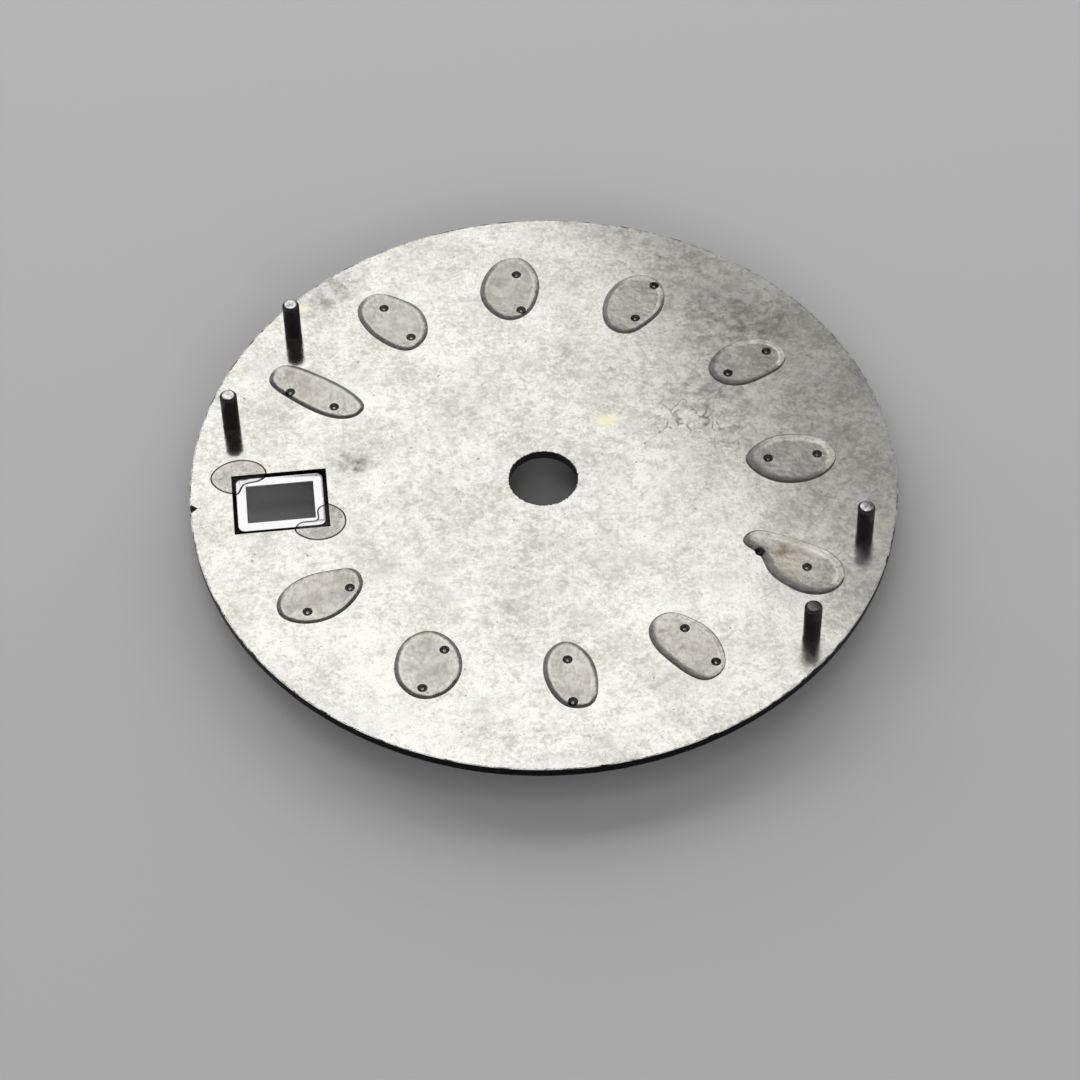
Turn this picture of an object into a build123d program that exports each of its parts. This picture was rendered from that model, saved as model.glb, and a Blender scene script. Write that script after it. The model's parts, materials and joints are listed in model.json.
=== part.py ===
from build123d import *
import os

# A watch dial for a three-hand movement with a date at 3. The origin is on the dial's axis, in the
# plane of its back. +Z points away from the back, so the face and its markers lie below, and +Y
# points to 12 o'clock. Seen from the back, the hours run anticlockwise.

# Dial blank and its black coat
dial_diameter = 28.5
dial_thickness = 0.40
lacquer_thickness = 0.04
centre_hole_diameter = 2.77
rim_nick_width = 0.36
rim_nick_depth = 0.21
overrun = 1.0

# Hours. The angles of the long markers, at 6, 9 and 12, and of the date are counted from 12 o'clock.
hours = 12
top_angle = 90
date_angle = 90
long_marker_angles = (180, 270, 360)
hour_angle = 360 / hours

# Applied markers, which all end at one distance from the rim
marker_rim_gap = 2.15
marker_length = 3.40
marker_width = 1.10
long_marker_length = 3.92
long_marker_width = 1.36
marker_height = 0.70
marker_bevel = 0.16
marker_rim = 0.27
lume_depth = 0.30
lume_sink = 0.04

# Marker pins, the holes that they stand in, and the bare strip round them under each marker
pin_spacing = 2.00
pin_diameter = 0.30
pin_hole_diameter = 0.40
pin_sink = 0.07
bare_strip_margin = 0.15

# Feet, in two pairs that each lie on one diameter
foot_diameter = 0.70
foot_length = 1.80
foot_chamfer = 0.10
foot_rim_gap = 0.80
first_foot_angle = 136.9
second_foot_angle = 160.8
half_turn = 180

# Date opening, the frame in it, and the gap between them. Lengths run out from the dial's axis.
date_rim_gap = 1.765
date_opening_length = 3.75
date_opening_width = 2.94
frame_gap = 0.12
frame_bar = 0.405
frame_corner_radius = 0.28
frame_sink = 0.05
frame_land = 0.08
frame_bevel = 0.38
flange_overlap = 0.30
flange_thickness = 0.26
flange_chamfer = 0.10

# Clear glue. The top of a spot is a share of its size at the bottom.
glue_height = 0.08
glue_fill_depth = 0.22
glue_top_share = 0.87

# Outlines of the glue spots over the pins, from the middle of the pair, outward along the hour and
# then sideways, as shares of the pin spacing
glue_outline_shares = {
    1: ((0.97, 0.19), (0.77, 0.49), (0.21, 0.63), (-0.36, 0.53), (-0.78, 0.22),
        (-0.69, -0.24), (-0.33, -0.52), (0.12, -0.59), (0.60, -0.40), (0.89, -0.20)),
    2: ((1.08, -0.43), (1.02, -0.07), (0.58, 0.13), (-0.10, 0.27), (-0.62, 0.27), (-1.01, 0.05),
        (-1.07, -0.24), (-0.77, -0.47), (-0.22, -0.62), (0.33, -0.68), (0.84, -0.66)),
    4: ((0.95, -0.09), (0.61, 0.27), (0.09, 0.41), (-0.45, 0.29), (-0.82, -0.02),
        (-0.84, -0.34), (-0.54, -0.55), (-0.07, -0.74), (0.49, -0.75), (0.91, -0.49)),
    5: ((0.73, -0.19), (0.68, 0.22), (0.38, 0.48), (-0.14, 0.53), (-0.54, 0.33),
        (-0.80, -0.03), (-0.81, -0.47), (-0.46, -0.78), (0.03, -0.80), (0.50, -0.57)),
    6: ((0.67, 0.08), (0.58, 0.38), (0.13, 0.53), (-0.37, 0.50), (-0.77, 0.30),
        (-0.95, 0.00), (-0.79, -0.32), (-0.29, -0.50), (0.13, -0.44), (0.50, -0.25)),
    7: ((0.78, -0.31), (0.68, 0.08), (0.30, 0.32), (-0.18, 0.39), (-0.67, 0.24),
        (-1.01, -0.02), (-0.99, -0.47), (-0.57, -0.73), (-0.05, -0.72), (0.49, -0.60)),
    8: ((1.28, -0.07), (1.19, 0.26), (0.82, 0.53), (0.32, 0.59), (-0.14, 0.58), (-0.58, 0.54),
        (-0.87, 0.39), (-0.91, 0.10), (-0.66, -0.01), (-0.43, -0.11), (-0.21, -0.35),
        (0.24, -0.57), (0.75, -0.61), (1.13, -0.41)),
    9: ((0.87, 0.05), (0.70, 0.36), (0.28, 0.55), (-0.22, 0.59), (-0.67, 0.41),
        (-0.96, 0.03), (-0.79, -0.34), (-0.42, -0.62), (0.08, -0.69), (0.60, -0.51)),
    10: ((0.81, -0.18), (0.76, 0.17), (0.46, 0.46), (0.03, 0.61), (-0.43, 0.56),
         (-0.78, 0.29), (-0.80, -0.07), (-0.48, -0.42), (0.07, -0.53), (0.55, -0.49)),
    11: ((0.70, 0.09), (0.67, 0.41), (0.36, 0.70), (-0.15, 0.81), (-0.68, 0.67),
         (-0.97, 0.39), (-0.95, -0.03), (-0.58, -0.28), (-0.11, -0.41), (0.41, -0.27)),
    12: ((1.01, -0.02), (0.93, 0.33), (0.58, 0.65), (0.03, 0.81), (-0.50, 0.63),
         (-0.76, 0.23), (-0.62, -0.12), (-0.24, -0.36), (0.30, -0.46), (0.80, -0.31)),
}

# Outlines of the glue spots over two corners of the date frame, from the middle of the opening, as
# shares of the opening's width
date_glue_outline_shares = {
    "outer": ((0.16, -0.54), (0.24, -0.69), (0.41, -0.78), (0.65, -0.78), (0.85, -0.67),
              (0.94, -0.50), (0.85, -0.31), (0.67, -0.20), (0.58, -0.19), (0.49, -0.34),
              (0.29, -0.39)),
    "inner": ((-0.69, 0.13), (-0.59, 0.11), (-0.49, 0.19), (-0.48, 0.36), (-0.27, 0.38),
              (-0.16, 0.51), (-0.28, 0.67), (-0.50, 0.74), (-0.72, 0.68), (-0.86, 0.51),
              (-0.85, 0.29)),
}

# What follows from these sizes
dial_radius = dial_diameter / 2
plate_radius = dial_radius - lacquer_thickness
plate_thickness = dial_thickness - lacquer_thickness
cut_height = 2 * (dial_thickness + overrun)
marker_hours = [hour for hour in range(1, hours + 1) if hour * hour_angle != date_angle]
marker_end_radius = dial_radius - marker_rim_gap
foot_circle_radius = dial_radius - foot_rim_gap - foot_diameter / 2
date_centre_radius = dial_radius - date_rim_gap - date_opening_length / 2
foot_angles = [
    first_foot_angle,
    second_foot_angle,
    first_foot_angle + half_turn,
    second_foot_angle + half_turn,
]
frame_length = date_opening_length - 2 * frame_gap
frame_width = date_opening_width - 2 * frame_gap
frame_inner_length = frame_length - 2 * frame_bar
frame_inner_width = frame_width - 2 * frame_bar
frame_front = dial_thickness + flange_thickness


# Size and place of one hour's marker
def marker_size(hour):
    if hour * hour_angle in long_marker_angles:
        return long_marker_length, long_marker_width
    return marker_length, marker_width


def pair_radius(hour):
    length, _ = marker_size(hour)
    return marker_end_radius - length / 2


def at_angle(angle, radius):
    return Rot(0, 0, angle) * Pos(radius, 0, 0)


def at_hour(hour, radius):
    return at_angle(top_angle + hour * hour_angle, radius)


def at_date(radius):
    return at_angle(top_angle + date_angle, radius)


# Solids that hang down from a level, or stand up from it
def box_below(length, width, level, depth):
    return Pos(0, 0, -level) * Box(length, width, depth, align=(Align.CENTER, Align.CENTER, Align.MAX))


def rod_below(radius, level, depth):
    return Pos(0, 0, -level) * Cylinder(radius, depth, align=(Align.CENTER, Align.CENTER, Align.MAX))


# Cutters for what goes through both the blank and its coat. A spread leaves room for the coat.
def centre_hole():
    return Cylinder(centre_hole_diameter / 2, cut_height)


def date_opening(spread):
    window = Box(date_opening_length + 2 * spread, date_opening_width + 2 * spread, cut_height)
    return at_date(date_centre_radius) * window


def rim_nick(spread):
    depth = rim_nick_depth + spread
    width = rim_nick_width * depth / rim_nick_depth
    outline = Polyline((-depth, 0), (depth, width), (depth, -width), close=True)
    wedge = extrude(make_face(outline), amount=cut_height / 2, both=True)
    return at_date(dial_radius) * wedge


def pin_places(hour):
    middle = pair_radius(hour)
    return [at_hour(hour, middle + side * pin_spacing / 2) for side in (-1, 1)]


def pin_holes():
    drill = Cylinder(pin_hole_diameter / 2, cut_height)
    return Part() + [place * drill for hour in marker_hours for place in pin_places(hour)]


# The blank: a punched and drilled disc
def dial_plate():
    plate = rod_below(plate_radius, 0, plate_thickness)
    plate -= centre_hole()
    plate -= date_opening(lacquer_thickness)
    plate -= rim_nick(lacquer_thickness)
    plate -= pin_holes()
    return plate


# The coat on the face, the rim and the walls of the date opening. Each marker hides a bare strip.
def face_lacquer():
    coat = rod_below(dial_radius, 0, dial_thickness)
    coat -= centre_hole()
    coat -= date_opening(0)
    coat -= rim_nick(0)
    strip_width = pin_diameter + 2 * bare_strip_margin
    strip = Box(pin_spacing + strip_width, strip_width, cut_height)
    coat -= [at_hour(hour, pair_radius(hour)) * strip for hour in marker_hours]
    inside = rod_below(plate_radius, 0, plate_thickness)
    inside -= date_opening(lacquer_thickness)
    inside -= rim_nick(lacquer_thickness)
    return coat - inside


# A foot: a stud with a chamfered tip, brazed upright on the back
def dial_foot(angle):
    foot = rod_below(foot_diameter / 2, -foot_length, foot_length)
    foot = chamfer(foot.edges().group_by(Axis.Z)[-1], foot_chamfer)
    return at_angle(angle, foot_circle_radius) * foot


# A marker: a bevelled baton with a recess in its face and two pins on its back
def hour_marker(hour):
    length, width = marker_size(hour)
    baton = box_below(length, width, dial_thickness, marker_height)
    baton = chamfer(baton.faces().sort_by(Axis.Z)[0].edges(), marker_bevel)
    baton -= lume_recess(hour, 0, overrun)
    pin = rod_below(pin_diameter / 2, pin_sink, dial_thickness - pin_sink)
    for side in (-1, 1):
        baton += Pos(side * pin_spacing / 2, 0, 0) * pin
    return at_hour(hour, pair_radius(hour)) * baton


def lume_recess(hour, sink, reach):
    length, width = marker_size(hour)
    level = dial_thickness + marker_height - lume_depth
    depth = lume_depth - sink + reach
    return box_below(length - 2 * marker_rim, width - 2 * marker_rim, level, depth)


def marker_lume(hour):
    return at_hour(hour, pair_radius(hour)) * lume_recess(hour, lume_sink, 0)


# Glue: a low drop with sloping sides over a closed outline
def glue_drop(points):
    outline = make_face(Spline(*points, periodic=True))
    middle = outline.center()
    top = scale(Pos(-middle.X, -middle.Y, 0) * outline, glue_top_share)
    return loft([outline, Pos(middle.X, middle.Y, glue_height) * top], ruled=True)


# A glue spot over the two holes of a marker's pins
def marker_glue(hour):
    points = [(out * pin_spacing, side * pin_spacing) for out, side in glue_outline_shares[hour]]
    return at_hour(hour, pair_radius(hour)) * glue_drop(points)


# The frame: a body that stands through the opening, a flange that lies on the face, and an inside
# that is straight at the back and widens to the front
def date_frame():
    body = box_below(frame_length, frame_width, frame_sink, dial_thickness - frame_sink)
    body = fillet(body.edges().filter_by(Axis.Z), frame_corner_radius)
    flange_length = date_opening_length + 2 * flange_overlap
    flange_width = date_opening_width + 2 * flange_overlap
    flange = box_below(flange_length, flange_width, dial_thickness, flange_thickness)
    flange = chamfer(flange.faces().sort_by(Axis.Z)[0].edges(), flange_chamfer)
    inside = box_below(frame_inner_length, frame_inner_width, 0, frame_sink + frame_land)
    bevel_top = frame_sink + frame_land
    narrow = Pos(0, 0, -bevel_top) * Rectangle(frame_inner_length, frame_inner_width)
    wide = Pos(0, 0, -frame_front) * Rectangle(
        frame_inner_length + 2 * frame_bevel,
        frame_inner_width + 2 * frame_bevel,
    )
    inside += loft([narrow, wide])
    return at_date(date_centre_radius) * (body + flange - inside)


# A glue spot over a corner of the frame, which fills the gap beside it
def date_glue(name, neighbours):
    points = [
        (out * date_opening_width, side * date_opening_width)
        for out, side in date_glue_outline_shares[name]
    ]
    fill = extrude(make_face(Spline(*points, periodic=True)), amount=-glue_fill_depth)
    spot = at_date(date_centre_radius) * (fill + glue_drop(points))
    for neighbour in neighbours:
        spot -= neighbour
    return spot


# Every piece by its name
def pieces():
    plate = dial_plate()
    lacquer = face_lacquer()
    frame = date_frame()
    made = {"dial_plate": plate, "face_lacquer": lacquer, "date_frame": frame}
    for name in date_glue_outline_shares:
        made[f"date_glue_{name}"] = date_glue(name, (plate, lacquer, frame))
    for number, angle in enumerate(foot_angles, start=1):
        made[f"dial_foot_{number}"] = dial_foot(angle)
    for hour in marker_hours:
        made[f"hour_marker_{hour:02d}"] = hour_marker(hour)
        made[f"marker_lume_{hour:02d}"] = marker_lume(hour)
        made[f"marker_glue_{hour:02d}"] = marker_glue(hour)
    return made


os.makedirs("parts", exist_ok=True)
for name, shape in pieces().items():
    export_step(shape, f"parts/{name}.step")
    print(name, round(sum(solid.volume for solid in shape.solids()), 4), len(shape.solids()))
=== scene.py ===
import json
import math
import bmesh
import bpy
from mathutils import Matrix, Vector


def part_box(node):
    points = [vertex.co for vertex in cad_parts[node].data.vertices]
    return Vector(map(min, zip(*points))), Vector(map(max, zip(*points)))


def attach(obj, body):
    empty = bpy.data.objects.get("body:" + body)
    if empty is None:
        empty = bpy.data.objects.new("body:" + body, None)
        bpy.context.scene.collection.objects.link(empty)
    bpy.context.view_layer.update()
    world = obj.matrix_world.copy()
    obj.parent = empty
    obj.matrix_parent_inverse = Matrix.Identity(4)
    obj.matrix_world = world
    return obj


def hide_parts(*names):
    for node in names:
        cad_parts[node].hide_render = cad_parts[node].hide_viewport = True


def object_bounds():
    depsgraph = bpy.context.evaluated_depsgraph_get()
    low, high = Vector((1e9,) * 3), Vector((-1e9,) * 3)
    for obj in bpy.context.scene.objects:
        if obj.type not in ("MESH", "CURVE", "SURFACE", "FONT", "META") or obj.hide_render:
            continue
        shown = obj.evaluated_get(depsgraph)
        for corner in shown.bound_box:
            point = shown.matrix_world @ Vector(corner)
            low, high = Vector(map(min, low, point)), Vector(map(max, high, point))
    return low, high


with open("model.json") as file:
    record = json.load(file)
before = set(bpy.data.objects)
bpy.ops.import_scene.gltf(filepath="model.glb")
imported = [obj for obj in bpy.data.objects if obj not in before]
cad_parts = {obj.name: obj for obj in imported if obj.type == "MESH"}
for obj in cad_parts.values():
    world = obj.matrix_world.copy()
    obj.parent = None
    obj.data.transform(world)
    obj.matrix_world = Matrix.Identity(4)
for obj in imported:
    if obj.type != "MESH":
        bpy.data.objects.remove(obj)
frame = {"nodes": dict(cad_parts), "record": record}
solid_low, solid_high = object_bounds()
mm = 0.001

# The blank is a punched and drilled metal disc. Its back is bare and silvery, satin from etching, with
# clouds of tarnish, those on the right and upper right partly painted shade, and the black coat of the face
# has run a little way into the centre hole.
overrun = 1 * mm
blank_low, blank_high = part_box("dial_plate")
blank_radius = blank_high.x
blank_sides = 720
blank_edge_round = 0.012 * mm
centre_hole_radius = frame["record"]["mounts"][0]["dims"]["r_mm"] * mm
centre_hole_sides = 160
coat_thickness = solid_high.x - blank_radius
window_low, window_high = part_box("date_frame")
window_overlap = 0.30 * mm
window_middle = (window_low + window_high) / 2
window_length = window_high.x - window_low.x - 2 * window_overlap
window_width = window_high.y - window_low.y - 2 * window_overlap
nick_depth = 0.21 * mm
nick_width = 0.36 * mm
nick_point = 0.0005 * mm
nick_paint = 0.10 * mm
pin_spacing = 2.00 * mm
pin_hole_radius = 0.20 * mm
pin_hole_sides = 48
marker_hours = sorted(int(node[-2:]) for node in frame["nodes"] if node.startswith("hour_marker_"))
foot_numbers = range(1, 5)
flux_reach = 1.1 * mm
flat_normal = 0.9999

pale_metal = (0.99, 0.975, 0.905, 1)
dull_metal = (0.60, 0.575, 0.515, 1)
cool_metal = (0.80, 0.80, 0.79, 1)
tarnish_and_shade = (0.13, 0.135, 0.135, 1)
smudge = (0.10, 0.088, 0.06, 1)
crackle = (0.12, 0.12, 0.12, 1)
yellowed = (1.0, 0.93, 0.62, 1)
fleck = (0.10, 0.10, 0.09, 1)
coat_black = (0.010, 0.010, 0.010, 1)

# A cloud is its place, its two reaches in millimetres, its turn in degrees and its strength.
# The clouds at (9.2, 7.5) and (11.3, 1.0) are partly painted shade, darkening the right and upper right
# where the back mirrors less of the soft box.
tarnish_and_shade_clouds = (
    (9.2, 7.5, 3.4, 2.3, -40, 0.70),
    (6.4, 3.9, 3.3, 1.7, -25, 0.48),
    (11.3, 1.0, 2.6, 5.2, 5, 0.30),
    (-8.0, 10.9, 2.3, 1.1, 35, 0.75),
    (2.0, 0.5, 9.5, 7.5, 0, 0.16),
    (0.5, -5.2, 1.0, 0.8, 0, 0.34),
    (-2.0, -6.6, 1.4, 0.8, 40, 0.28),
    (3.0, 6.1, 3.6, 1.6, -10, 0.32),
)
smudge_spots = ((-7.5, 1.7, 1.25, 0.75), (-7.4, 1.5, 0.55, 1.0))
yellow_spots = ((2.9, 2.75, 0.75), (13.2, -3.9, 0.45), (-9.3, 10.3, 0.6))


def take_up(piece):
    bpy.ops.object.select_all(action="DESELECT")
    piece.select_set(True)
    bpy.context.view_layer.objects.active = piece


def settle(piece, name):
    piece.name = name
    piece.data.name = name
    take_up(piece)
    bpy.ops.object.transform_apply(location=True, rotation=True, scale=True)
    return piece


def rod(name, radius, low, high, sides, x=0.0, y=0.0):
    bpy.ops.object.select_all(action="DESELECT")
    bpy.ops.mesh.primitive_cylinder_add(
        vertices=sides, radius=radius, depth=high - low, location=(x, y, (low + high) / 2)
    )
    return settle(bpy.context.object, name)


def block(name, length, width, low, high, x=0.0, y=0.0):
    bpy.ops.object.select_all(action="DESELECT")
    bpy.ops.mesh.primitive_cube_add(size=1, location=(x, y, (low + high) / 2))
    bpy.context.object.scale = (length, width, high - low)
    return settle(bpy.context.object, name)


def apply_last(piece):
    take_up(piece)
    bpy.ops.object.modifier_apply(modifier=piece.modifiers[-1].name)


def cut_away(piece, cutter, operation="DIFFERENCE"):
    saw = piece.modifiers.new("saw", "BOOLEAN")
    saw.operation = operation
    saw.solver = "EXACT"
    saw.object = cutter
    apply_last(piece)
    bpy.data.objects.remove(cutter)


def break_edges(piece, width, segments=2, sharper_than=30):
    stone = piece.modifiers.new("stone", "BEVEL")
    stone.width = width
    stone.segments = segments
    stone.limit_method = "ANGLE"
    stone.angle_limit = math.radians(sharper_than)
    apply_last(piece)


def smooth(piece, under=20):
    take_up(piece)
    bpy.ops.object.shade_smooth_by_angle(angle=math.radians(under))


def flat_backed(piece):
    smooth(piece)
    for face in piece.data.polygons:
        face.use_smooth = abs(face.normal.z) < flat_normal


def join(pieces):
    bpy.ops.object.select_all(action="DESELECT")
    for piece in pieces:
        piece.select_set(True)
    bpy.context.view_layer.objects.active = pieces[0]
    bpy.ops.object.join()
    return pieces[0]


def middle(node):
    low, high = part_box(node)
    return (low + high) / 2


def pin_places(hour):
    centre = middle(f"hour_marker_{hour:02d}")
    outward = Vector((centre.x, centre.y)).normalized() * pin_spacing / 2
    return [centre.xy - outward, centre.xy + outward]


def punch_hole(piece, radius):
    cut_away(piece, rod("punch", radius, blank_low.z - overrun, overrun, centre_hole_sides))


def punch_window(piece, spread):
    length, width = window_length + 2 * spread, window_width + 2 * spread
    punch = block("punch", length, width, blank_low.z - overrun, overrun, window_middle.x, window_middle.y)
    cut_away(piece, punch)


def file_nick(piece, spread):
    depth = nick_depth + spread
    wedge = block("file", 2 * depth, nick_width, -overrun, overrun, solid_low.x)
    for point in wedge.data.vertices:
        reach = nick_width * depth / nick_depth if point.co.x < solid_low.x else nick_point
        point.co.y = math.copysign(reach, point.co.y)
    cut_away(piece, wedge)


blank = rod("dial_blank", blank_radius, blank_low.z, 0, blank_sides)
punch_hole(blank, centre_hole_radius)
punch_window(blank, coat_thickness)
file_nick(blank, nick_paint)
drills = [
    rod("drill", pin_hole_radius, blank_low.z - overrun, overrun, pin_hole_sides, x, y)
    for hour in marker_hours
    for x, y in pin_places(hour)
]
cut_away(blank, join(drills))
break_edges(blank, blank_edge_round)
flat_backed(blank)


class Finish:
    """A finish as a graph of nodes, laid out on the piece in millimetres."""

    def __init__(self, name):
        self.material = bpy.data.materials.new(name)
        self.material.use_nodes = True
        self.tree = self.material.node_tree
        self.shader = self.tree.nodes["Principled BSDF"]
        place = self.node("TexCoord").outputs["Object"]
        self.grid = self.node("Mapping", Vector=place, Scale=(1 / mm, 1 / mm, 1 / mm)).outputs[0]

    def feed(self, socket, value):
        if isinstance(value, bpy.types.NodeSocket):
            self.tree.links.new(value, socket)
        else:
            socket.default_value = value

    def node(self, kind, settings=None, **sockets):
        made = self.tree.nodes.new("ShaderNode" + kind)
        for name, value in (settings or {}).items():
            setattr(made, name, value)
        for name, value in sockets.items():
            self.feed(made.inputs[name.replace("_", " ")], value)
        return made

    def attribute(self, name, output="Fac"):
        return self.node("Attribute", {"attribute_name": name}).outputs[output]

    def height(self):
        return self.node("SeparateXYZ", Vector=self.grid).outputs[2]

    def math(self, operation, first, second=0.0):
        made = self.node("Math", {"operation": operation})
        self.feed(made.inputs[0], first)
        self.feed(made.inputs[1], second)
        return made.outputs[0]

    def times(self, first, second):
        return self.math("MULTIPLY", first, second)

    def total(self, *terms):
        summed = terms[0]
        for term in terms[1:]:
            summed = self.math("ADD", summed, term)
        return summed

    def vector(self, operation, first, second=(0, 0, 0)):
        made = self.node("VectorMath", {"operation": operation})
        self.feed(made.inputs[0], first)
        self.feed(made.inputs[1], second)
        return made.outputs["Value" if operation == "LENGTH" else "Vector"]

    def apart(self, place=(0, 0, 0)):
        """How far a point lies from a place, or from the axis, as seen from above."""
        level = self.vector("MULTIPLY", self.vector("SUBTRACT", self.grid, place), (1, 1, 0))
        return self.vector("LENGTH", level)

    def grain(self, size, detail=3.0, roughness=0.55, grid=None):
        """Noise from 0 to 1 whose patches are about this many millimetres wide."""
        sockets = {"Scale": 1 / size, "Detail": detail, "Roughness": roughness}
        return self.node("TexNoise", Vector=grid or self.grid, **sockets).outputs[0]

    def ramp(self, value, start, end, low=0.0, high=1.0):
        """Maps start to end onto low to high, with a soft shoulder at both ends."""
        made = self.node("MapRange", {"interpolation_type": "SMOOTHSTEP"}, Value=value)
        for name, number in (("From Min", start), ("From Max", end), ("To Min", low), ("To Max", high)):
            self.feed(made.inputs[name], number)
        return made.outputs[0]

    def mix(self, share, low, high):
        made = self.node("Mix", {"data_type": "RGBA"})
        for socket, value in ((made.inputs[0], share), (made.inputs[6], low), (made.inputs[7], high)):
            self.feed(socket, value)
        return made.outputs[2]

    def tint(self, below, colour, mask, strength):
        """Lays a colour over what is below it, as far as the mask and the strength let it."""
        return self.mix(self.times(mask, strength), below, colour)

    def lines(self, size, width, strength, grid):
        """Thin lines that wander along the middle level of a noise."""
        off = self.math("ABSOLUTE", self.math("SUBTRACT", self.grain(size, 3.0, 0.6, grid), 0.5))
        return self.ramp(off, 0.0, width, strength, 0.0)

    def ragged(self, size, by):
        """The grid with its points pushed about, so that what is drawn on it has an uneven edge."""
        push = self.node("TexNoise", Vector=self.grid, Scale=1 / size, Detail=4.0).outputs[1]
        centred = self.vector("SUBTRACT", push, (0.5, 0.5, 0.5))
        return self.vector("ADD", self.grid, self.vector("MULTIPLY", centred, (by, by, by)))

    def patch(self, x, y, length, width, turn=0.0, grid=None, core=0.15):
        """A patch, given in millimetres, that is 1 in its core and fades to 0 at its edge."""
        lay = self.node("Mapping", {"vector_type": "TEXTURE"}, Vector=grid or self.grid)
        self.feed(lay.inputs["Location"], (x, y, 0))
        self.feed(lay.inputs["Rotation"], (0, 0, math.radians(turn)))
        self.feed(lay.inputs["Scale"], (length, width, 1e3))
        return self.ramp(self.vector("LENGTH", lay.outputs[0]), core, 1.0, 1.0, 0.0)

    def shade(self, **sockets):
        """Feeds the shader's sockets, which are named here with _ for a space."""
        for name, value in sockets.items():
            self.feed(self.shader.inputs[name.replace("_", " ")], value)

    def bump(self, height, depth, strength=1.0):
        made = self.node("Bump", Height=height, Distance=depth * mm, Strength=strength)
        self.shade(Normal=made.outputs[0])

    def on(self, piece):
        piece.data.materials.clear()
        piece.data.materials.append(self.material)


def etched_tone(finish, wander, speckle, mottle):
    """How pale the bare metal is, from 0 to 1: grain, veins and pits on clouds, calm under the glue."""
    etch = finish.total(
        finish.ramp(mottle, 0.30, 0.62, -0.33, 0.23),
        finish.ramp(speckle, 0.25, 0.75, -0.27, 0.27),
        finish.times(finish.lines(0.34, 0.035, 1.0, wander), -0.38),
        finish.ramp(finish.grain(1.1, 2.0, 0.5, wander), 0.36, 0.64, -0.10, 0.10),
        finish.times(finish.ramp(finish.grain(0.13, 1.0), 0.64, 0.74), -0.50),
    )
    under_glue = 0.0
    for hour in marker_hours:
        centre = middle(f"marker_glue_{hour:02d}") / mm
        turn = math.degrees(math.atan2(centre.y, centre.x))
        drop = finish.patch(centre.x, centre.y, 1.6, 1.0, turn, core=0.7)
        under_glue = finish.math("MAXIMUM", under_glue, drop)
    etch = finish.times(etch, finish.math("SUBTRACT", 1.0, finish.times(under_glue, 0.45)))
    clouds = finish.ramp(finish.grain(2.8, 3.0, 0.55), 0.30, 0.70, 0.32, 0.87)
    # The metal is paler in a broad patch to the lower left.
    paler_patch = finish.patch(-7.0, -11.5, 11.0, 7.5, -20, core=0.0)
    return finish.total(etch, clouds, finish.times(paler_patch, 0.26))


def tarnished_and_shaded(finish, metal, wander, mottle):
    """The metal with its grey clouds, partly tarnish and partly painted shade, and its smudge, crackle,
    yellow spots and flecks, where each of them lies.
    """
    drift = finish.ragged(1.3, 1.6)
    grit = finish.ramp(mottle, 0.25, 0.65, 1.0, 0.25)
    # Some clouds are partly painted shade, where the back mirrors less of the soft box.
    for x, y, length, width, turn, strength in tarnish_and_shade_clouds:
        cloud = finish.times(finish.patch(x, y, length, width, turn, drift), grit)
        metal = finish.tint(metal, tarnish_and_shade, cloud, strength)
    for x, y, size, strength in smudge_spots:
        spot = finish.times(finish.patch(x, y, size, size * 0.8, grid=wander, core=0.0), grit)
        metal = finish.tint(metal, smudge, spot, strength)
    cells = finish.node("TexVoronoi", {"feature": "DISTANCE_TO_EDGE"}, Vector=wander, Scale=1 / 0.55)
    crack = finish.ramp(cells.outputs["Distance"], 0.0, 0.10, 1.0, 0.0)
    crack = finish.times(crack, finish.patch(6.5, 2.4, 3.4, 1.9, -28, drift, core=0.3))
    crack = finish.times(crack, finish.ramp(finish.grain(0.6, 3.0, 0.6), 0.42, 0.62))
    metal = finish.tint(metal, crackle, crack, 0.80)
    for x, y, size in yellow_spots:
        spot = finish.patch(x, y, size, size * 0.6, grid=finish.ragged(0.5, 0.7))
        metal = finish.tint(metal, yellowed, spot, 0.75)
    return finish.tint(metal, fleck, finish.ramp(finish.grain(0.30, 1.0), 0.74, 0.78), 0.55)


def black_edges(finish):
    """1 where the coat has run over the rim, into the centre hole and down the walls, and 0 elsewhere."""
    uneven = finish.ramp(finish.grain(0.11, 2.0, 0.6), 0.3, 0.7, -0.025, 0.025)
    radius = finish.total(finish.apart(), uneven)
    rim, hole = blank_radius / mm, centre_hole_radius / mm
    at_rim = finish.ramp(radius, rim - 0.010, rim + 0.010)
    at_hole = finish.ramp(radius, hole + 0.02, hole + 0.04, 1.0, 0.0)
    below = finish.ramp(finish.height(), -0.02, -0.008, 1.0, 0.0)
    return finish.math("MAXIMUM", below, finish.math("MAXIMUM", at_rim, at_hole))


def flux_dulled(finish, rough, wander):
    """The roughness, raised beside the two right feet, where flux from their brazing dulled the metal."""
    for number in foot_numbers:
        centre = middle(f"dial_foot_{number}") / mm
        if centre.x > 0:
            flux = finish.patch(centre.x, centre.y - flux_reach / mm, 1.0, 1.3, grid=wander, core=0.5)
            rough = finish.total(rough, finish.times(flux, 0.10))
    return rough


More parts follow.
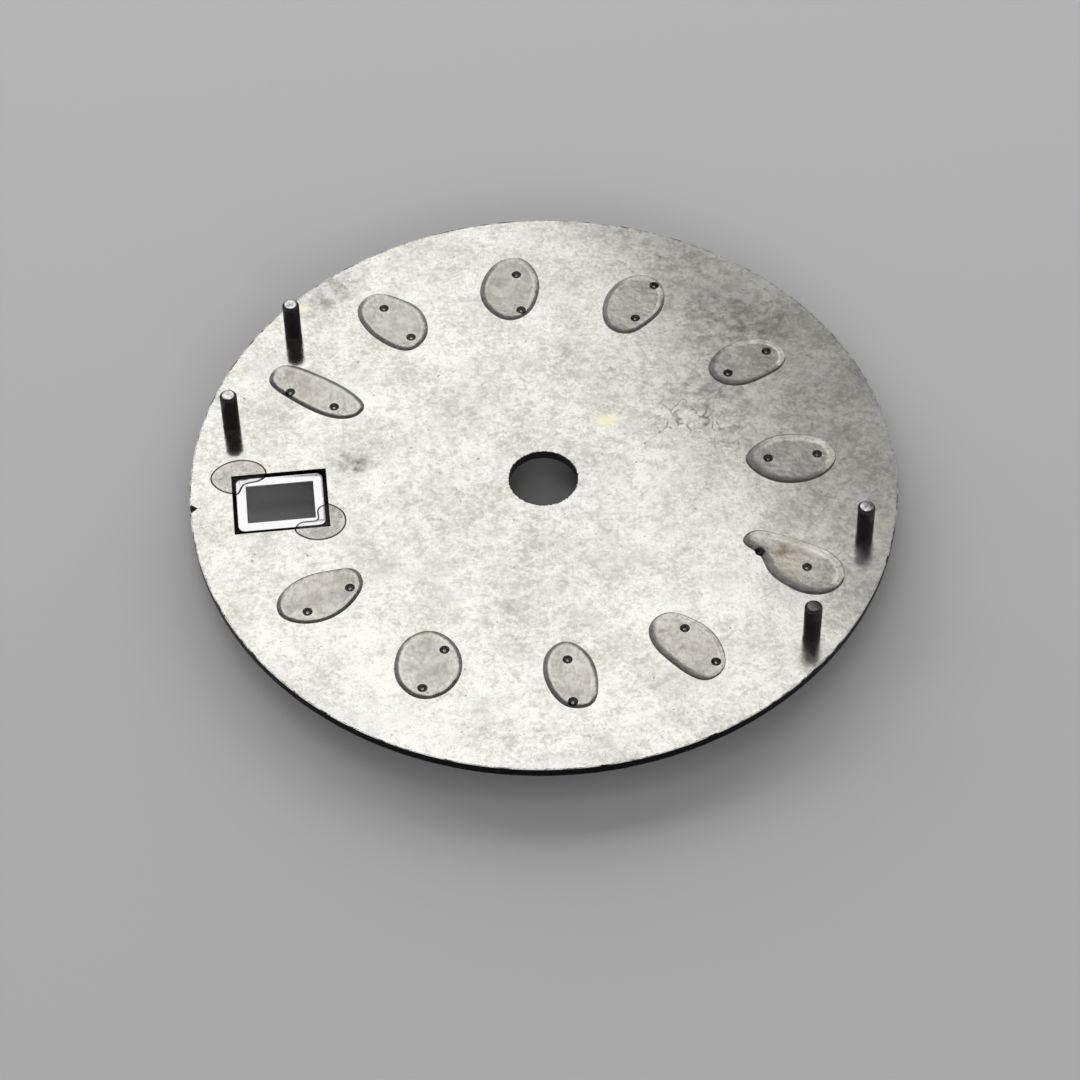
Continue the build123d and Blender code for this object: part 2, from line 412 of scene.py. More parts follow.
def etched_metal():
    finish = Finish("etched_metal")
    wander = finish.ragged(0.9, 0.5)
    speckle = finish.grain(0.17, 2.0, 0.55)
    mottle = finish.grain(0.46, 4.0, 0.65, wander)
    metal = finish.mix(etched_tone(finish, wander, speckle, mottle), dull_metal, pale_metal)
    cool = finish.ramp(finish.grain(1.7, 3.0, 0.6), 0.45, 0.70)
    metal = finish.tint(metal, cool_metal, cool, 0.45)
    metal = tarnished_and_shaded(finish, metal, wander, mottle)
    black = black_edges(finish)
    finish.shade(
        Base_Color=finish.mix(black, metal, coat_black),
        Metallic=finish.math("SUBTRACT", 1.0, black),
        Roughness=flux_dulled(finish, finish.ramp(mottle, 0.25, 0.75, 0.09, 0.135), wander),
    )
    finish.bump(finish.total(speckle, finish.times(mottle, 1.5)), 0.003, 0.3)
    return finish


etched_metal().on(blank)
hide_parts("dial_plate")
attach(blank, "root")

# The coat is black lacquer, sprayed on the face. It wraps over the rim, where it shows from the back
# as a thin black line, and over the walls of the date opening.
coat_sides = 720
coat_edge_round = 0.015 * mm

coat = rod("black_coat", solid_high.x, blank_low.z - coat_thickness, 0, coat_sides)
blank_room = rod("blank_room", blank_radius, blank_low.z, overrun, coat_sides)
punch_window(blank_room, coat_thickness)
file_nick(blank_room, nick_paint)
cut_away(coat, blank_room)
punch_hole(coat, centre_hole_radius)
punch_window(coat, 0)
file_nick(coat, 0)
break_edges(coat, coat_edge_round)
flat_backed(coat)


def black_lacquer():
    finish = Finish("black_lacquer")
    peel = finish.grain(0.5, 2.0)
    dust = finish.ramp(finish.grain(0.14, 1.0), 0.70, 0.78)
    black = finish.mix(finish.grain(3.0), (0.003, 0.003, 0.0035, 1), (0.006, 0.006, 0.0065, 1))
    black = finish.tint(black, (0.3, 0.3, 0.3, 1), dust, 0.10)
    height = finish.height()
    rim, face = blank_radius / mm, blank_low.z / mm
    back_edge = finish.times(
        finish.ramp(finish.apart(), rim - 0.02, rim - 0.005), finish.ramp(height, -0.022, -0.006)
    )
    worn = finish.times(back_edge, finish.ramp(finish.grain(0.6, 3.0, 0.6), 0.34, 0.56))
    finish.shade(
        Base_Color=finish.mix(worn, black, (0.74, 0.73, 0.69, 1)),
        Metallic=worn,
        Roughness=finish.ramp(peel, 0.2, 0.8, 0.22, 0.34),
        Specular_IOR_Level=finish.ramp(height, face - 0.02, face + 0.02, 0.4, 0.08),
    )
    finish.bump(peel, 0.004, 0.6)
    return finish


lacquer = black_lacquer()
lacquer.on(coat)
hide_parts("face_lacquer")
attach(coat, "root")

# The feet are four studs of drawn wire, brazed upright on the back. Their tips are cut square, slightly
# chamfered and bright, but for a dull one at 7 o'clock. Their shafts are painted nearly black, partly heat
# tint from brazing and partly painted shade for the dark surroundings that they mirror.
foot_sides = 64
foot_tip_chamfer = 0.10 * mm
foot_tip_round = 0.02 * mm
foot_tip_bright = 0.005 * mm
foot_tip_fade = 0.02 * mm
draw_line_flatness = 0.06
level_tolerance = 0.002 * mm


def bevel_edges(piece, wanted, width, segments=1):
    """Bevels the edges of which the two ends are as wanted."""
    take_up(piece)
    bpy.ops.object.mode_set(mode="EDIT")
    bpy.ops.mesh.select_mode(type="EDGE")
    bpy.ops.mesh.select_all(action="DESELECT")
    bpy.ops.object.mode_set(mode="OBJECT")
    for edge in piece.data.edges:
        edge.select = wanted(*[piece.data.vertices[number].co for number in edge.vertices])
    bpy.ops.object.mode_set(mode="EDIT")
    bpy.ops.mesh.bevel(offset=width, segments=segments, affect="EDGES")
    bpy.ops.object.mode_set(mode="OBJECT")


def at_level(level):
    return lambda a, b: max(abs(a.z - level), abs(b.z - level)) < level_tolerance


def foot_wire():
    finish = Finish("foot_wire")
    drawn = finish.node("Mapping", Vector=finish.grid, Scale=(1, 1, draw_line_flatness))
    line = finish.grain(0.05, 2.0, 0.5, drawn.outputs[0])
    mottle = finish.grain(0.18, 3.0)
    # The shafts are painted nearly black: partly heat tint, partly painted shade.
    shaft_shade = finish.mix(mottle, (0.035, 0.034, 0.032, 1), (0.10, 0.098, 0.094, 1))
    bright = finish.mix(finish.ramp(mottle, 0.35, 0.6), (0.45, 0.44, 0.43, 1), (0.93, 0.93, 0.91, 1))
    dull = middle("dial_foot_3") / mm
    dull_tip = finish.patch(dull.x, dull.y, 1.0, 1.0, core=0.9)
    bright = finish.mix(dull_tip, bright, (0.16, 0.16, 0.155, 1))
    tip = (solid_high.z - foot_tip_bright) / mm
    cut = finish.ramp(finish.height(), tip - foot_tip_fade / mm, tip)
    finish.shade(
        Base_Color=finish.mix(cut, shaft_shade, bright),
        Metallic=1.0,
        Roughness=finish.ramp(line, 0.2, 0.8, 0.14, 0.30),
    )
    finish.bump(line, 0.004, 0.5)
    return finish


wire = foot_wire()
for number in foot_numbers:
    low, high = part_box(f"dial_foot_{number}")
    centre = (low + high) / 2
    foot = rod(f"foot_{number}", (high.x - low.x) / 2, 0, high.z, foot_sides, centre.x, centre.y)
    bevel_edges(foot, at_level(high.z), foot_tip_chamfer)
    break_edges(foot, foot_tip_round, segments=3, sharper_than=25)
    smooth(foot, under=25)
    wire.on(foot)
    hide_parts(f"dial_foot_{number}")
    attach(foot, "root")

# The minute track is sixty pale ticks printed on the face, under the tips of the markers. Every fifth is
# longer. The face isn't in the photograph, so they are a guess.
tick_outer_radius = 13.85 * mm
tick_length = 0.55 * mm
long_tick_length = 0.90 * mm
tick_width = 0.09 * mm
long_tick_width = 0.16 * mm
ink_height = 0.004 * mm
ticks_an_hour = 5
ticks = 12 * ticks_an_hour


def turned(piece, angle, x=0.0, y=0.0):
    piece.data.transform(Matrix.Translation((x, y, 0)) @ Matrix.Rotation(angle, 4, "Z"))
    return piece


def copy_of(piece, name):
    twin = piece.copy()
    twin.data = piece.data.copy()
    twin.name = name
    twin.data.name = name
    bpy.context.scene.collection.objects.link(twin)
    return twin


def printed_ink():
    finish = Finish("printed_ink")
    wear = finish.grain(0.06, 3.0)
    ink = finish.mix(finish.ramp(wear, 0.3, 0.7), (0.55, 0.56, 0.55, 1), (0.74, 0.75, 0.73, 1))
    finish.shade(Base_Color=ink, Roughness=0.55)
    finish.bump(wear, 0.002, 0.5)
    return finish


track = []
for tick in range(ticks):
    is_long = tick % ticks_an_hour == 0
    length = long_tick_length if is_long else tick_length
    width = long_tick_width if is_long else tick_width
    low = blank_low.z - coat_thickness - ink_height
    mark = block("tick", length, width, low, low + 2 * ink_height, tick_outer_radius - length / 2)
    track.append(turned(mark, 2 * math.pi * tick / ticks))
minute_track = settle(join(track), "minute_track")
printed_ink().on(minute_track)
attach(minute_track, "root")

# The hour markers are polished metal batons with bevelled edges and a recess in the face. Two pins on
# the back of each stand in holes in the blank, and their domed tips show at the back. Inside the holes the
# pins are painted nearly black as painted shade, with a small painted highlight on the flat of each tip.
marker_length, marker_width = 3.40 * mm, 1.10 * mm
long_marker_length, long_marker_width = 3.92 * mm, 1.36 * mm
long_marker_hours = (6, 9, 12)
marker_back = blank_low.z - coat_thickness
marker_front = solid_low.z
marker_bevel = 0.16 * mm
marker_rim = 0.27 * mm
marker_edge_round = 0.02 * mm
lume_depth = 0.30 * mm
pin_radius = 0.15 * mm
pin_tip = -0.07 * mm
pin_dome = 0.11 * mm
pin_sides = 32
union_overlap = 0.10 * mm


def polished_metal(name, shade, has_pins=False):
    finish = Finish(name)
    haze = finish.grain(0.35, 3.0)
    metal = finish.mix(haze, (0.9 * shade, 0.9 * shade, 0.9 * shade, 1), (shade, shade, shade, 1))
    if has_pins:
        height = finish.height()
        face, tip = blank_low.z / mm, pin_tip / mm
        # Inside the holes the pins are painted nearly black, as painted shade.
        pin_shade = finish.ramp(height, face - 0.02, face + 0.02)
        metal = finish.mix(pin_shade, metal, (0.035, 0.034, 0.032, 1))
        # A small painted highlight on the flat of each pin's tip.
        tip_highlight = finish.ramp(height, tip - 0.004, tip - 0.001)
        metal = finish.mix(tip_highlight, metal, (0.50, 0.49, 0.46, 1))
    rough = finish.ramp(haze, 0.25, 0.75, 0.06, 0.14)
    finish.shade(Base_Color=metal, Metallic=1.0, Roughness=rough)
    finish.bump(finish.grain(0.06, 2.0), 0.0015, 0.35)
    return finish


def marker(length, width):
    baton = block("baton", length, width, marker_front, marker_back)
    bevel_edges(baton, at_level(marker_front), marker_bevel)
    recess_floor = marker_front + lume_depth
    recess_length, recess_width = length - 2 * marker_rim, width - 2 * marker_rim
    cut_away(baton, block("recess", recess_length, recess_width, marker_front - overrun, recess_floor))
    pin_root = marker_back - union_overlap
    for side in (-1, 1):
        pin = rod("pin", pin_radius, pin_root, pin_tip, pin_sides, side * pin_spacing / 2)
        bevel_edges(pin, at_level(pin_tip), pin_dome, segments=6)
        cut_away(baton, pin, "UNION")
    break_edges(baton, marker_edge_round)
    smooth(baton)
    return baton


marker_finish = polished_metal("marker_metal", shade=0.86, has_pins=True)
plain_marker = marker(marker_length, marker_width)
long_marker = marker(long_marker_length, long_marker_width)
for hour in marker_hours:
    centre = middle(f"hour_marker_{hour:02d}")
    baton = copy_of(long_marker if hour in long_marker_hours else plain_marker, f"marker_{hour:02d}")
    turned(baton, math.atan2(centre.y, centre.x), centre.x, centre.y)
    marker_finish.on(baton)
    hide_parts(f"hour_marker_{hour:02d}")
    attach(baton, "root")
bpy.data.objects.remove(plain_marker)
bpy.data.objects.remove(long_marker)

# The lume is a matt, grainy paste that fills the recess of each marker and stands a little proud of
# flat in the middle.
lume_sink = 0.04 * mm
lume_dome = 0.03 * mm
lume_clearance = 0.004 * mm
lume_cells = 24


def lume_paste():
    finish = Finish("lume_paste")
    grit = finish.grain(0.035, 3.0, 0.7)
    patch = finish.grain(0.5, 2.0)
    paste = finish.mix(finish.ramp(grit, 0.3, 0.7), (0.62, 0.66, 0.55, 1), (0.82, 0.85, 0.74, 1))
    paste = finish.tint(paste, (0.78, 0.78, 0.62, 1), patch, 0.35)
    finish.shade(Base_Color=paste, Roughness=0.9, Specular_IOR_Level=0.25)
    finish.bump(grit, 0.012, 0.8)
    return finish


def fill(length, width):
    length -= 2 * (marker_rim + lume_clearance)
    width -= 2 * (marker_rim + lume_clearance)
    paste = block("paste", length, width, marker_front + lume_sink, marker_front + lume_depth)
    take_up(paste)
    bpy.ops.object.mode_set(mode="EDIT")
    bpy.ops.mesh.select_all(action="SELECT")
    bpy.ops.mesh.subdivide(number_cuts=lume_cells)
    bpy.ops.object.mode_set(mode="OBJECT")
    for point in paste.data.vertices:
        if abs(point.co.z - marker_front - lume_sink) < level_tolerance:
            along = 1 - (2 * point.co.x / length) ** 4
            across = 1 - (2 * point.co.y / width) ** 2
            point.co.z -= lume_dome * max(0, along * across)
    smooth(paste, under=40)
    return paste


lume_finish = lume_paste()
plain_fill = fill(marker_length, marker_width)
long_fill = fill(long_marker_length, long_marker_width)
for hour in marker_hours:
    centre = middle(f"hour_marker_{hour:02d}")
    paste = copy_of(long_fill if hour in long_marker_hours else plain_fill, f"lume_{hour:02d}")
    turned(paste, math.atan2(centre.y, centre.x), centre.x, centre.y)
    lume_finish.on(paste)
    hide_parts(f"marker_lume_{hour:02d}")
    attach(paste, "root")
bpy.data.objects.remove(plain_fill)
bpy.data.objects.remove(long_fill)

# The date frame is milled and polished. Its body stands in the opening with a gap all round, its flange
# lies on the face, and its inside is straight at the back and widens towards the front. Its outer sides in
# the gap and the back of its flange take the black lacquer as painted shade, which makes the gap dark.
frame_length, frame_width = 3.51 * mm, 2.70 * mm
frame_bar = 0.405 * mm
frame_corner = 0.28 * mm
frame_land = 0.08 * mm
frame_bevel = 0.38 * mm
flange_chamfer = 0.10 * mm
frame_edge_round = 0.02 * mm
funnel_overrun = 1.1
gap_reach = 0.06 * mm
gap_margin = 0.03 * mm
frame_middle = middle("date_frame")
frame_low, frame_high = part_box("date_frame")
flange_size = frame_high - frame_low

body = block("window_frame", frame_length, frame_width, marker_back - union_overlap, frame_high.z)
bevel_edges(body, lambda a, b: abs(a.z - b.z) > level_tolerance, frame_corner, segments=10)
flange = block("flange", flange_size.x, flange_size.y, frame_low.z, marker_back)
bevel_edges(flange, at_level(frame_low.z), flange_chamfer)
cut_away(body, flange, "UNION")
inner_length, inner_width = frame_length - 2 * frame_bar, frame_width - 2 * frame_bar
cut_away(body, block("window", inner_length, inner_width, frame_low.z - overrun, overrun))
funnel_top = frame_high.z - frame_land
funnel = block("funnel", inner_length, inner_width, frame_low.z, funnel_top)
for point in funnel.data.vertices:
    if point.co.z < funnel_top - level_tolerance:
        above = Vector((point.co.x, point.co.y, funnel_top))
        point.co.x += math.copysign(frame_bevel, point.co.x)
        point.co.y += math.copysign(frame_bevel, point.co.y)
        point.co = above + (point.co - above) * funnel_overrun
cut_away(body, funnel)
break_edges(body, frame_edge_round, segments=3)
smooth(body)
turned(body, 0, frame_middle.x, frame_middle.y)
polished_metal("frame_metal", shade=1.0).on(body)
# The outer sides in the gap and the back of the flange take the black lacquer as painted shade.
body.data.materials.append(lacquer.material)
for face in body.data.polygons:
    away = face.center.xy - frame_middle.xy
    over_length = abs(away.x) > frame_length / 2 - gap_reach
    over_width = abs(away.y) > frame_width / 2 - gap_reach
    faces_out = abs(face.normal.z) < 0.5 and face.normal.xy.dot(away) > 0
    in_depth = marker_back < face.center.z < frame_high.z - gap_margin
    gap_shade = in_depth and faces_out and (over_length or over_width)
    flange_shade = abs(face.center.z - marker_back) < gap_margin and face.normal.z > 0.5
    if flange_shade or gap_shade:
        face.material_index = 1
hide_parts("date_frame")
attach(body, "root")

# The glue is clear resin, dropped over each pair of pins and over two corners of the date frame. Each
# drop has its own outline, a steep toe and a nearly flat top. A toe is steps inward and up, in
# millimetres, and it is gentler at 7 to 10 o'clock.
glue_sides = 168
glue_sink = 0.012 * mm
date_glue_sink = 0.06 * mm
toe_width = 0.30
steep_toe = (
    (0, 0),
    (0.02, 0.010),
    (0.15, 0.0565),
    (0.175, 0.063),
    (0.20, 0.0665),
    (0.25, 0.069),
    (toe_width, 0.0705),
)
gentle_toe = (
    (0, 0),
    (0.02, 0.010),
    (0.09, 0.034),
    (0.18, 0.0465),
    (0.26, 0.0565),
    (0.28, 0.058),
    (toe_width, 0.059),
)
gentle_hours = (7, 8, 9, 10)
wide_hours = (8, 9)
wide_toe_share = 1.25
drop_rise = 0.004
date_toe_share = 0.40
top_shares = (0.95, 0.9, 0.84, 0.78, 0.71, 0.64, 0.56, 0.48, 0.39, 0.30, 0.20, 0.10)
smoothing_rounds = 4
outline_tolerance = 0.001 * mm
double_distance = 0.0005 * mm
sag = 0.047 * mm
sag_start, sag_end = 0.01 * mm, 0.13 * mm


def outline_of(node):
    """The closed line that the node's drop has at the level of the back, in order."""
    drop = frame["nodes"][node].data.copy()
    shape = bmesh.new()
    shape.from_mesh(drop)
    bmesh.ops.remove_doubles(shape, verts=shape.verts, dist=double_distance)
    near = outline_tolerance
    following = {}
    for face in shape.faces:
        heights = [vertex.co.z for vertex in face.verts]
        if max(heights) > near and min(heights) < near:
            for loop in face.loops:
                first, second = loop.vert, loop.link_loop_next.vert
                if abs(first.co.z) < near and abs(second.co.z) < near:
                    following[first] = second
    line = [next(iter(following))]
    while following[line[-1]] is not line[0]:
        line.append(following[line[-1]])
    points = [vertex.co.xy.copy() for vertex in line]
    shape.free()
    bpy.data.meshes.remove(drop)
    return points


def evenly(points, number):
    """The same closed line with this many points at equal steps, each drawn a little to its neighbours."""
    steps = [(points[i] - points[i - 1]).length for i in range(len(points))]
    steps = steps[1:] + steps[:1]
    total, walked, index, found = sum(steps), 0.0, 0, []
    for count in range(number):
        goal = total * count / number
        while walked + steps[index] < goal:
            walked += steps[index]
            index += 1
        share = (goal - walked) / steps[index]
        found.append(points[index].lerp(points[(index + 1) % len(points)], share))
    for _ in range(smoothing_rounds):
        found = [(found[i - 1] + 2 * found[i] + found[(i + 1) % number]) / 4 for i in range(number)]
    return found


def over_opening(point):
    """From 0, over the back, to 1, over the date frame."""
    aside = window_length / 2 + coat_thickness - abs(point.x - window_middle.x)
    above = window_width / 2 + coat_thickness - abs(point.y - window_middle.y)
    share = min(1, max(0, (min(aside, above) - sag_start) / (sag_end - sag_start)))
    return share * share * (3 - 2 * share)


def drop_rings(line, sink, toe, share_of_toe):
    """The drop's level rings, from the one sunk in the back to the smallest, and the point over them."""
    number = len(line)
    normals = []
    for i in range(number):
        along = (line[(i + 1) % number] - line[i - 1]).normalized()
        normals.append(Vector((-along.y, along.x)))
    area = sum(line[i - 1].x * line[i].y - line[i].x * line[i - 1].y for i in range(number)) / 2
    if area < 0:
        normals = [-normal for normal in normals]
    rings = [[(point.x, point.y, -sink) for point in line]]
    scale = share_of_toe * mm
    for inward, height in toe:
        ring = [point + normal * inward * scale for point, normal in zip(line, normals)]
        rings.append([(point.x, point.y, height * scale - sag * over_opening(point)) for point in ring])
    centre = sum(ring, Vector((0, 0))) / number
    top = toe[-1][1]
    for share in top_shares:
        height = (top + drop_rise * (1 - share**2)) * scale
        moved = [centre + (point - centre) * share for point in ring]
        rings.append([(point.x, point.y, height - sag * over_opening(point)) for point in moved])
    return rings, (centre.x, centre.y, (top + drop_rise) * scale)


def drop_skin(name, rings, pole):
    """A closed mesh through the rings, with the pole over the last and a point in the first."""
    number = len(rings[0])
    points = [point for ring in rings for point in ring]
    top, foot = len(points), len(points) + 1
    points += [pole, (pole[0], pole[1], rings[0][0][2])]
    faces = []
    last = (len(rings) - 1) * number
    neighbours = [(i, (i + 1) % number) for i in range(number)]
    for low in range(0, last, number):
        high = low + number
        faces += [(low + i, low + j, high + j, high + i) for i, j in neighbours]
    for i, j in neighbours:
        faces += [(last + i, last + j, top), (j, i, foot)]
    mesh = bpy.data.meshes.new(name)
    mesh.from_pydata(points, [], faces)
    return mesh


def drop_mesh(name, line, sink, toe, share_of_toe, pins):
    """A drop whose points know how near the rim and how far over the frame they are, and its pins."""
    mesh = drop_skin(name, *drop_rings(line, sink, toe, share_of_toe))
    rim_shares = [1.0] + [1 - inward / toe_width for inward, _ in toe]
    rim = mesh.attributes.new("rim", "FLOAT", "POINT")
    over = mesh.attributes.new("over", "FLOAT", "POINT")
    for index, point in enumerate(mesh.vertices):
        ring = index // len(line)
        rim.data[index].value = rim_shares[ring] if ring < len(rim_shares) else 0.0
        over.data[index].value = over_opening(point.co.xy)
    for label, place in zip(("pin_a", "pin_b"), pins):
        layer = mesh.attributes.new(label, "FLOAT_VECTOR", "POINT")
        for mark in layer.data:
            mark.vector = (place.x / mm, place.y / mm, 0)
    drop = bpy.data.objects.new(name, mesh)
    bpy.context.scene.collection.objects.link(drop)
    take_up(drop)
    bpy.ops.object.mode_set(mode="EDIT")
    bpy.ops.mesh.select_all(action="SELECT")
    bpy.ops.mesh.normals_make_consistent(inside=False)
    bpy.ops.object.mode_set(mode="OBJECT")
    smooth(drop, under=50)
    return drop


def resin_colour(finish, rim, wander, cloud, clear, edge_shade):
    """Cloudy and folded resin, darker to the north and east as painted shade, with a painted lighter band
    inside the toe and painted shade at its edge, stained at 8 o'clock, clear over the frame.
    """
    pale = (0.91 * clear, 0.89 * clear, 0.87 * clear, 1)
    grey = (0.66 * clear, 0.65 * clear, 0.63 * clear, 1)
    resin = finish.mix(finish.ramp(cloud, 0.40, 0.68), pale, grey)
    resin = finish.mix(finish.lines(0.55, 0.045, 0.65, wander), resin, (0.50, 0.49, 0.47, 1))
    warm = finish.ramp(finish.grain(1.1, 3.0, 0.6), 0.55, 0.72)
    resin = finish.tint(resin, (0.66, 0.60, 0.49, 1), warm, 0.35)
    speck = finish.ramp(finish.grain(0.09, 2.0), 0.70, 0.76)
    resin = finish.tint(resin, (0.30, 0.29, 0.27, 1), speck, 0.3)
    # Darker to the north and east as painted shade, where the back beneath mirrors less of the soft box.
    north = finish.patch(2.0, 11.5, 10.0, 7.0, core=0.5)
    east = finish.patch(11.5, 0.5, 5.0, 9.0, core=0.5)
    resin = finish.tint(resin, (0.54, 0.53, 0.51, 1), finish.math("MAXIMUM", north, east), 0.32)
    resin = finish.mix(finish.attribute("over"), resin, (0.97, 0.97, 0.96, 1))
    # A paler band painted just inside the toe, as painted light.
    painted_light_band = finish.times(finish.ramp(rim, 0.0, 0.10), finish.ramp(rim, 0.20, 0.42, 1.0, 0.0))
    resin = finish.tint(resin, (0.97, 0.96, 0.94, 1), painted_light_band, 0.65)
    # Painted shade on the toe's edge, as strong as the edge share given.
    resin = finish.mix(finish.ramp(rim, 0.30, 0.60, 0.0, edge_shade), resin, (0.02, 0.02, 0.018, 1))
    stain = finish.ramp(cloud, 0.36, 0.56, 0.35, 1.0)
    cream = finish.times(finish.patch(9.2, -5.4, 1.6, 0.9, -60, wander), stain)
    resin = finish.tint(resin, (0.90, 0.84, 0.66, 1), cream, 0.6)
    brown = finish.times(finish.patch(9.25, -4.7, 0.95, 0.55, 30, wander), stain)
    return finish.tint(resin, (0.38, 0.31, 0.22, 1), brown, 0.85)


def resin_haze(finish, rim, haze, toe_haze):
    """How milky the resin is: more so in the toes to the north and south-east, clear over the pins."""
    over_pins = 1.0
    for label in ("pin_a", "pin_b"):
        reach = finish.apart(finish.attribute(label, "Vector"))
        over_pins = finish.times(over_pins, finish.ramp(reach, 0.20, 0.30))
    toe = finish.total(
        finish.times(finish.patch(7.5, -7.5, 4.0, 2.6, 40), 0.10),
        finish.times(finish.patch(-1, 12, 11, 8, core=0.6), 0.09),
        toe_haze,
    )
    return finish.times(over_pins, finish.ramp(rim, 0.0, 0.35, haze, toe))


def clear_resin(name, haze, toe_haze, clear, gloss, ior, edge_shade):
    finish = Finish(name)
    rim = finish.attribute("rim")
    wander = finish.ragged(0.6, 0.5)
    cloud = finish.grain(0.8, 4.0, 0.65, wander)
    finish.shade(
        Base_Color=resin_colour(finish, rim, wander, cloud, clear, edge_shade),
        Transmission_Weight=finish.math("SUBTRACT", 1.0, resin_haze(finish, rim, haze, toe_haze)),
        IOR=ior,
        Specular_Tint=(gloss, gloss, gloss, 1),
        Roughness=finish.ramp(cloud, 0.3, 0.7, 0.03, 0.09),
    )
    wave = finish.total(finish.grain(1.0, 2.0), finish.times(finish.grain(0.4, 2.0), 0.25))
    finish.bump(wave, 0.08, 0.7)
    return finish


marker_resin = clear_resin(
    "marker_resin", haze=0.15, toe_haze=0.12, clear=1.0, gloss=0.45, ior=1.48, edge_shade=0.0
)
# The frame's drops get a near-black edge of painted shade.
frame_resin = clear_resin(
    "frame_resin", haze=0.02, toe_haze=0.02, clear=0.89, gloss=0.6, ior=1.12, edge_shade=0.95
)
for node in sorted(frame["nodes"]):
    if "_glue_" in node:
        line = evenly(outline_of(node), glue_sides)
        if node.startswith("date"):
            no_pins = [Vector((0, 0))] * 2
            drop = drop_mesh(f"resin_{node}", line, date_glue_sink, steep_toe, date_toe_share, no_pins)
            frame_resin.on(drop)
        else:
            hour = int(node[-2:])
            toe = gentle_toe if hour in gentle_hours else steep_toe
            share_of_toe = wide_toe_share if hour in wide_hours else 1
            drop = drop_mesh(f"resin_{node}", line, glue_sink, toe, share_of_toe, pin_places(hour))
            marker_resin.on(drop)
        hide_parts(node)
        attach(drop, "root")

# The camera stands where the photograph was taken, over the 6 o'clock side. Its lens, place and turn come
# from a fit to the rim, the centre hole, the feet and the pins.
camera_lens = 118.35
camera_sensor = 36
camera_azimuth = math.radians(-4.914)
camera_elevation = math.radians(51.737)
camera_roll = math.radians(-1.19078)
camera_distance = 141.149 * mm
camera_target = Vector((-0.458 * mm, -3.140 * mm, 0))
camera_near, camera_far = 5 * mm, 20


def towards(azimuth, elevation):
    """The direction at an azimuth, counted from +Y to +X, and an elevation."""
    level = math.cos(elevation)
    return Vector((math.sin(azimuth) * level, math.cos(azimuth) * level, math.sin(elevation)))


def look(thing, target, back, distance, roll=0.0):
    place = Matrix.Translation(target + distance * back)
    turn = (-back).to_track_quat("-Z", "Y").to_matrix().to_4x4()
    thing.matrix_world = place @ turn @ Matrix.Rotation(roll, 4, "Z")


camera = bpy.data.objects.new("camera", bpy.data.cameras.new("camera"))
bpy.context.scene.collection.objects.link(camera)
camera.data.lens = camera_lens
camera.data.sensor_width = camera_sensor
camera.data.clip_start = camera_near
camera.data.clip_end = camera_far
camera_back = towards(math.pi - camera_azimuth, camera_elevation)
look(camera, camera_target, camera_back, camera_distance, camera_roll)
bpy.context.scene.camera = camera

# The dial lies on its markers on a plain pale floor. The satin back mirrors a soft box, with a dimmer
# panel beside it, beyond 12 o'clock. Two low fill lights, which it doesn't mirror, light what is matt. The
# sky is pale at the horizon, darker above, and dark behind the box.
floor_reach = 3.0
floor_colour = (0.54, 0.54, 0.545, 1)
floor_roughness = 0.8
floor_gloss = 0.2
floor_gap = 0.001 * mm
bpy.ops.object.select_all(action="DESELECT")
bpy.ops.mesh.primitive_plane_add(size=2 * floor_reach, location=(0, 0, solid_low.z - floor_gap))
floor = bpy.context.object
floor.name = "floor"
paint = bpy.data.materials.new("floor_paint")
paint.use_nodes = True
coating = paint.node_tree.nodes["Principled BSDF"]
coating.inputs["Base Color"].default_value = floor_colour
coating.inputs["Roughness"].default_value = floor_roughness
coating.inputs["Specular IOR Level"].default_value = floor_gloss
floor.data.materials.append(paint)

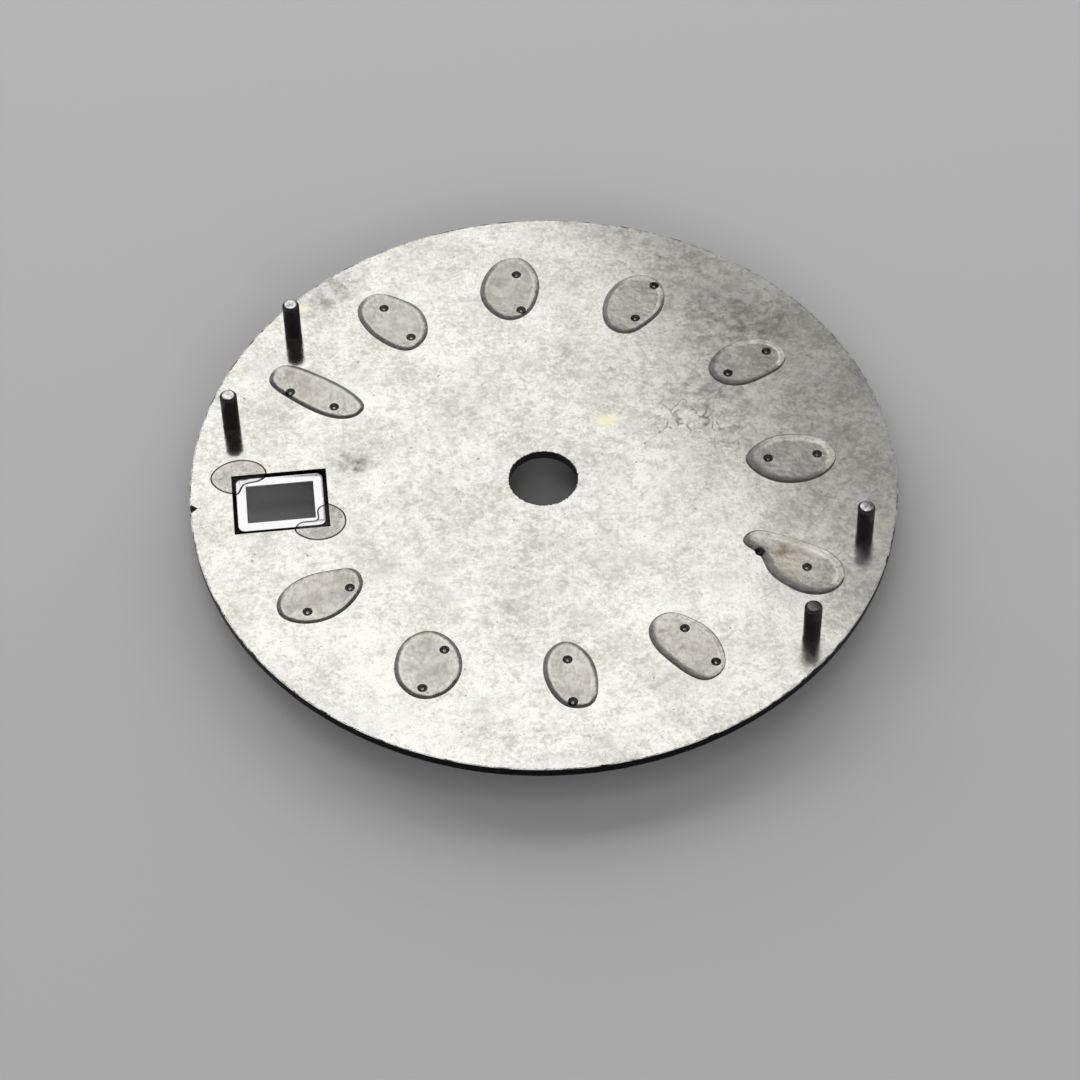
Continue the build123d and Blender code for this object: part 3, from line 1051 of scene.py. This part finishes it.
sky_shades = ((0.0, 0.50), (0.35, 0.46), (0.54, 0.34), (0.66, 0.20), (0.78, 0.12))
dark_wall = 0.12
wall_start, wall_end = 0.30, 0.60
world = bpy.data.worlds.new("studio")
bpy.context.scene.world = world
world.use_nodes = True
sky = world.node_tree
height = sky.nodes.new("ShaderNodeSeparateXYZ")
shades = sky.nodes.new("ShaderNodeValToRGB")
sky.links.new(sky.nodes.new("ShaderNodeTexCoord").outputs["Generated"], height.inputs[0])
sky.links.new(height.outputs[2], shades.inputs[0])
north = sky.nodes.new("ShaderNodeMapRange")
north.inputs["From Min"].default_value = wall_start
north.inputs["From Max"].default_value = wall_end
sky.links.new(height.outputs[1], north.inputs["Value"])
walls = sky.nodes.new("ShaderNodeMix")
walls.data_type = "RGBA"
walls.inputs[7].default_value = (dark_wall, dark_wall, dark_wall, 1)
sky.links.new(north.outputs[0], walls.inputs[0])
sky.links.new(shades.outputs[0], walls.inputs[6])
sky.links.new(walls.outputs[2], sky.nodes["Background"].inputs["Color"])
spots = shades.color_ramp.elements
spots.remove(spots[1])
for number, (level, shade) in enumerate(sky_shades):
    spot = spots[0] if number == 0 else spots.new(level)
    spot.position = level
    spot.color = (shade, shade, shade, 1)


def soft_light(name, length, width, radiance, azimuth, elevation, distance, roll=0.0):
    """A lamp that faces the dial from an azimuth and an elevation in degrees."""
    light = bpy.data.lights.new(name, "AREA")
    light.shape = "RECTANGLE"
    light.size = length
    light.size_y = width
    light.energy = radiance * math.pi * length * width
    lamp = bpy.data.objects.new(name, light)
    bpy.context.scene.collection.objects.link(lamp)
    back = towards(math.radians(azimuth), math.radians(elevation))
    look(lamp, Vector((0, 0, 0)), back, distance, math.radians(roll))
    return lamp


box_length, box_width, box_radiance = 131 * mm, 260 * mm, 0.90
box_place = {"azimuth": -6.5, "elevation": 55.5, "distance": 300 * mm, "roll": 22}
panel_length, panel_radiance = 22 * mm, 0.29
fill_length, fill_width, fill_radiance = 900 * mm, 194 * mm, 8.3
fill_place = {"azimuth": -2, "elevation": 15, "distance": 420 * mm}
low_fill_length, low_fill_width, low_fill_radiance = 270 * mm, 180 * mm, 3.6
low_fill_place = {"azimuth": 180, "elevation": 20, "distance": 420 * mm}
soft_box = soft_light("soft_box", box_length, box_width, box_radiance, **box_place)
side_panel = soft_light("side_panel", panel_length, box_width, panel_radiance, **box_place)
beside = Matrix.Translation((-(box_length + panel_length) / 2, 0, 0))
side_panel.matrix_world = soft_box.matrix_world @ beside
fill_light = soft_light("fill", fill_length, fill_width, fill_radiance, **fill_place)
low_fill = soft_light("low_fill", low_fill_length, low_fill_width, low_fill_radiance, **low_fill_place)
for lamp in (fill_light, low_fill):
    lamp.visible_glossy = False
    lamp.visible_transmission = False
bpy.context.scene.view_settings.view_transform = "Standard"
